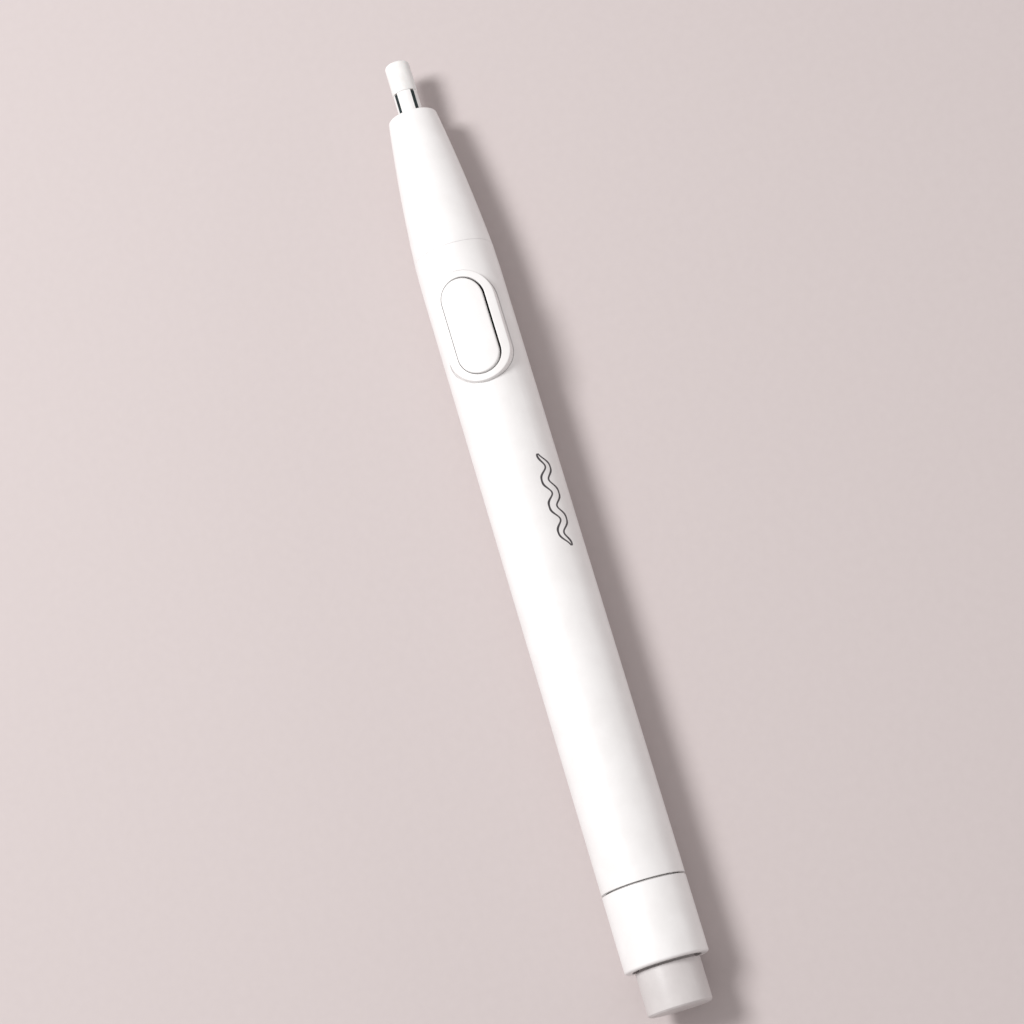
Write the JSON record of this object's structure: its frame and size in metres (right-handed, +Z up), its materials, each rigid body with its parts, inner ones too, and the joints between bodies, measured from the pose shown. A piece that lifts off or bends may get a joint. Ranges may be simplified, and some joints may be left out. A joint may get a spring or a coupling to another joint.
{
  "type": "electric eraser",
  "caption": "Pen-shaped battery electric eraser with a push button, a screw battery cap and a collet that spins the refill.",
  "frame": {"origin": "on the resting surface, under the middle of the pen's length", "axes": "+X along the pen towards the eraser, +Y across it, +Z up through the push button"},
  "size_m": [0.1808, 0.015, 0.0159],
  "materials": {
    "white_shell": "satin white moulded plastic",
    "grey_knob": "satin light grey moulded plastic",
    "white_rubber": "matt white vinyl eraser",
    "dark_rubber": "matt black rubber",
    "dark_sleeve": "matt black with a cold tint",
    "black_plastic": "matt black moulded plastic",
    "cream_plastic": "natural moulded plastic",
    "green_board": "green lacquered board",
    "battery_foil": "plain printed foil jacket",
    "steel": "nickel-plated steel",
    "spring_steel": "bright drawn wire",
    "brass": "bare brass",
    "copper": "copper",
    "ferrite": "dark grey ferrite"
  },
  "bodies": {
    "handle": {"barrel": "white_shell", "nose_cone": "white_shell", "front_bearing": "brass", "rear_battery": "battery_foil", "front_battery": "battery_foil", "positive_contact": "steel", "contact_bulkhead": "cream_plastic", "return_strip": "brass", "switch_board": "green_board", "switch_housing": "black_plastic", "button_spring": "spring_steel", "motor_can": "steel", "motor_end_cap": "black_plastic", "motor_bush": "brass", "motor_washer": "dark_rubber", "motor_magnet_lower": "ferrite", "motor_magnet_upper": "ferrite", "motor_terminal_left": "brass", "motor_terminal_right": "brass", "motor_brush_left": "copper", "motor_brush_right": "copper", "motor_lead_left": "dark_rubber", "motor_lead_right": "dark_rubber"},
    "spindle": {"motor_shaft": "steel", "motor_commutator": "copper", "motor_armature": "steel", "motor_winding_1": "copper", "motor_winding_2": "copper", "motor_winding_3": "copper", "spindle_coupling": "black_plastic", "collet": "white_shell", "grip_sleeve": "dark_sleeve"},
    "eraser": {"eraser_refill": "white_rubber"},
    "button": {"button_cap": "white_shell", "switch_plunger": "cream_plastic"},
    "battery_contact": {"negative_contact": "steel", "battery_spring": "spring_steel"},
    "tail_cap_assembly": {"tail_cap": "white_shell", "tail_knob": "grey_knob", "cap_seal_ring": "dark_rubber"}
  },
  "joints": [
    {"name": "spindle_spin", "type": "hinge", "parent": "handle", "child": "spindle", "pos_m": [0.07, 0, 0.0075], "axis": [1, 0, 0], "continuous": true},
    {"name": "eraser_pull", "type": "slide", "parent": "spindle", "child": "eraser", "axis": [1, 0, 0], "range_m": [0, 0.0145]},
    {"name": "button_press", "type": "slide", "parent": "handle", "child": "button", "axis": [0, 0, -1], "range_m": [0, 0.0008], "stiffness_N_per_m": 900, "springref_m": -0.0006, "deforming": ["button_spring"]},
    {"name": "cap_travel", "type": "slide", "parent": "handle", "child": "battery_contact", "axis": [-1, 0, 0], "range_m": [0, 0.0064]},
    {"name": "cap_twist", "type": "hinge", "parent": "battery_contact", "child": "tail_cap_assembly", "pos_m": [-0.075, 0, 0.0075], "axis": [-1, 0, 0], "range_deg": [0, 1440]}
  ],
  "couplings": [
    {"joint": "cap_twist", "follows": "cap_travel", "rad_per_m": 3927}
  ]
}
